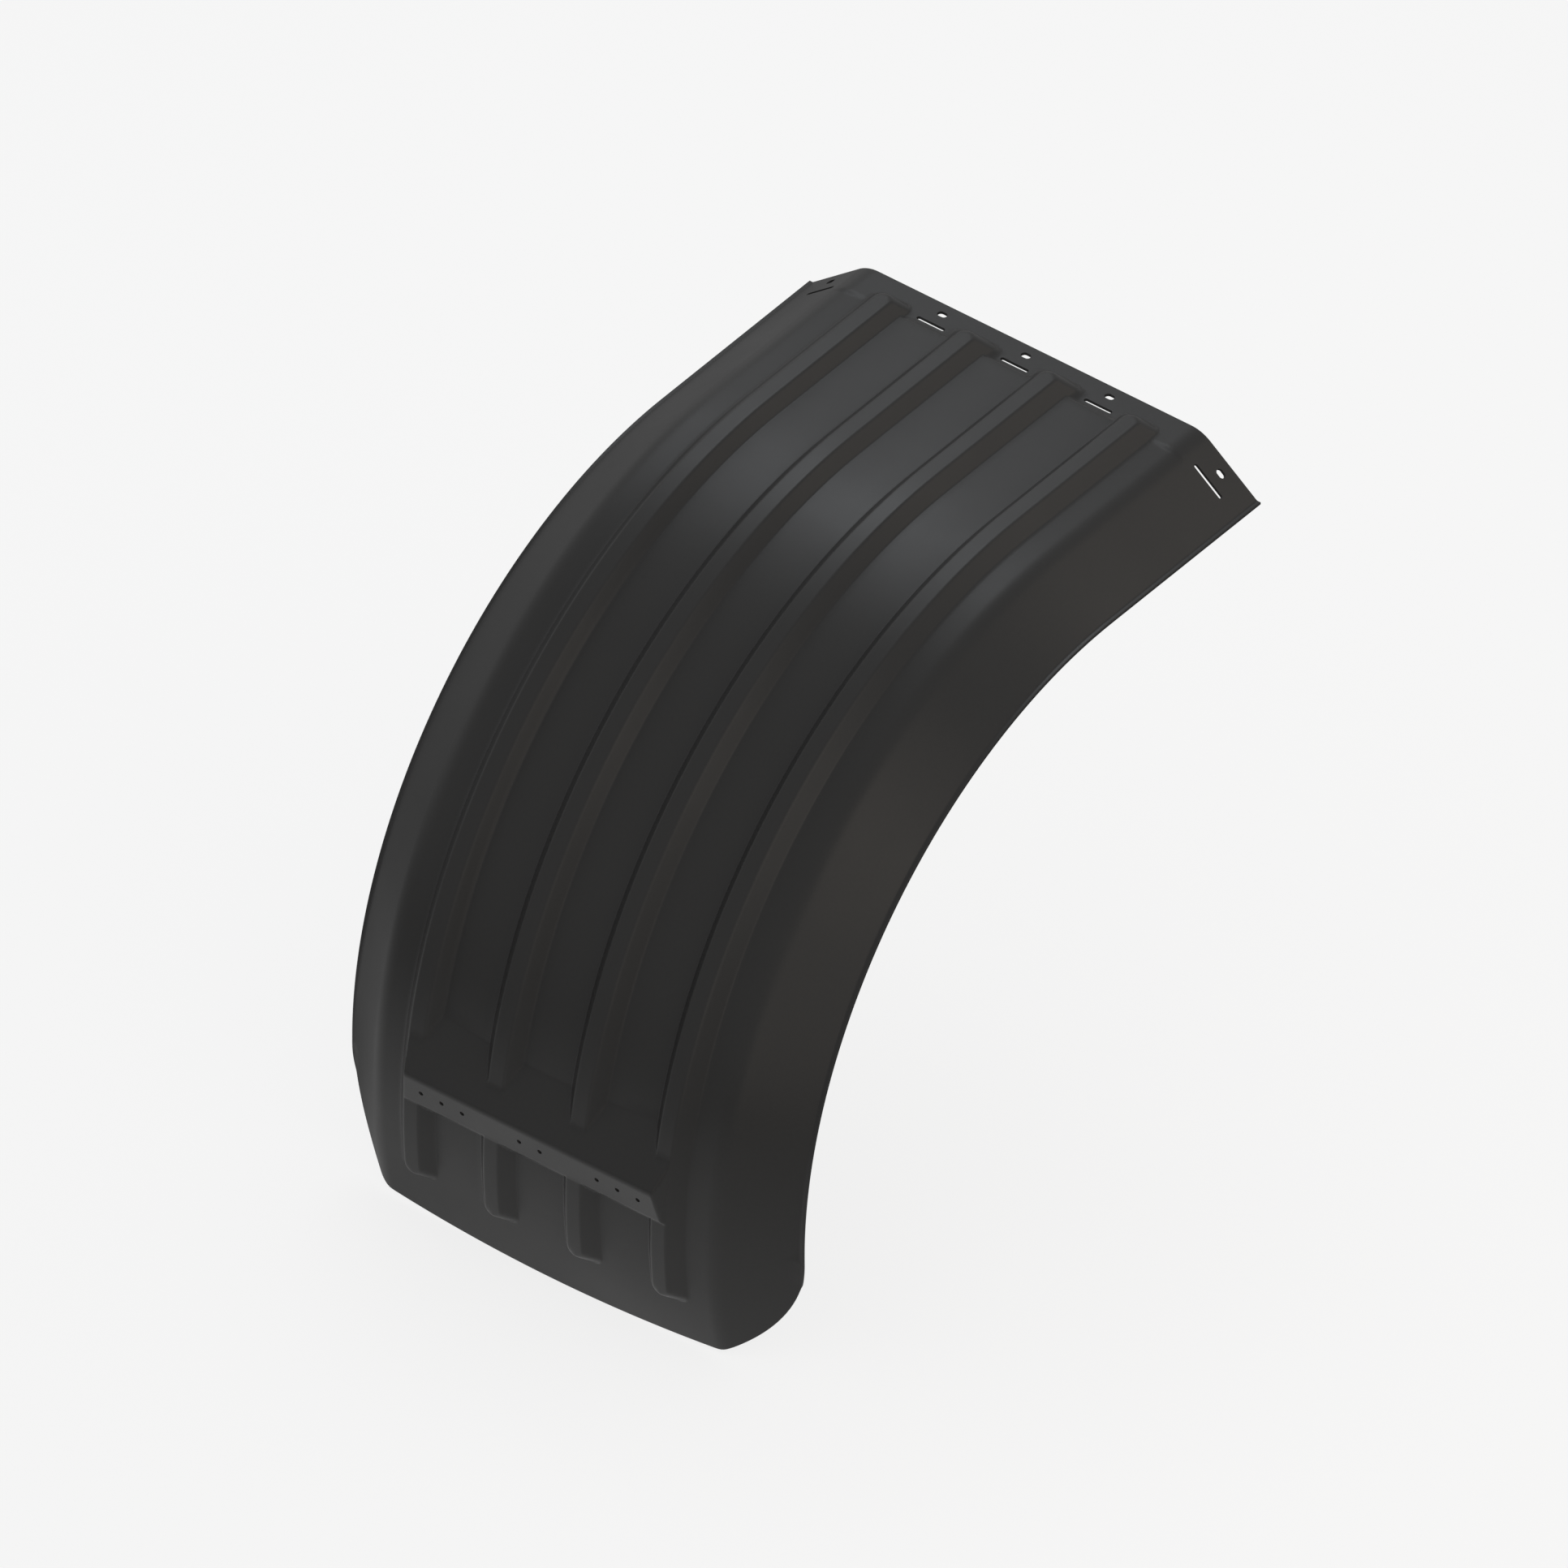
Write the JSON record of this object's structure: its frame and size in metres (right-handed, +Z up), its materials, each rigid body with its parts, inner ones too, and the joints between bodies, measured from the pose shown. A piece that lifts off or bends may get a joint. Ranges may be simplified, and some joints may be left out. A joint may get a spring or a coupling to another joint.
{
  "type": "mudguard",
  "caption": "Rear quarter mudguard for a truck's twin wheel: arched plastic shell with hollow ribs, side walls, a slotted top flange and a drilled pad that carries a rubber flap.",
  "frame": {"origin": "the wheel's axis, on the guard's mid-plane", "axes": "+Z up, +Y along the wheel's axis, +X from the flat top run towards the guard's bottom edge (away from the mounting flange)"},
  "size_m": [0.9477, 0.66, 0.8238],
  "materials": {
    "black_moulded_plastic": "satin black, as moulded"
  },
  "bodies": {
    "root": {"mudguard_shell": "black_moulded_plastic"}
  },
  "joints": []
}
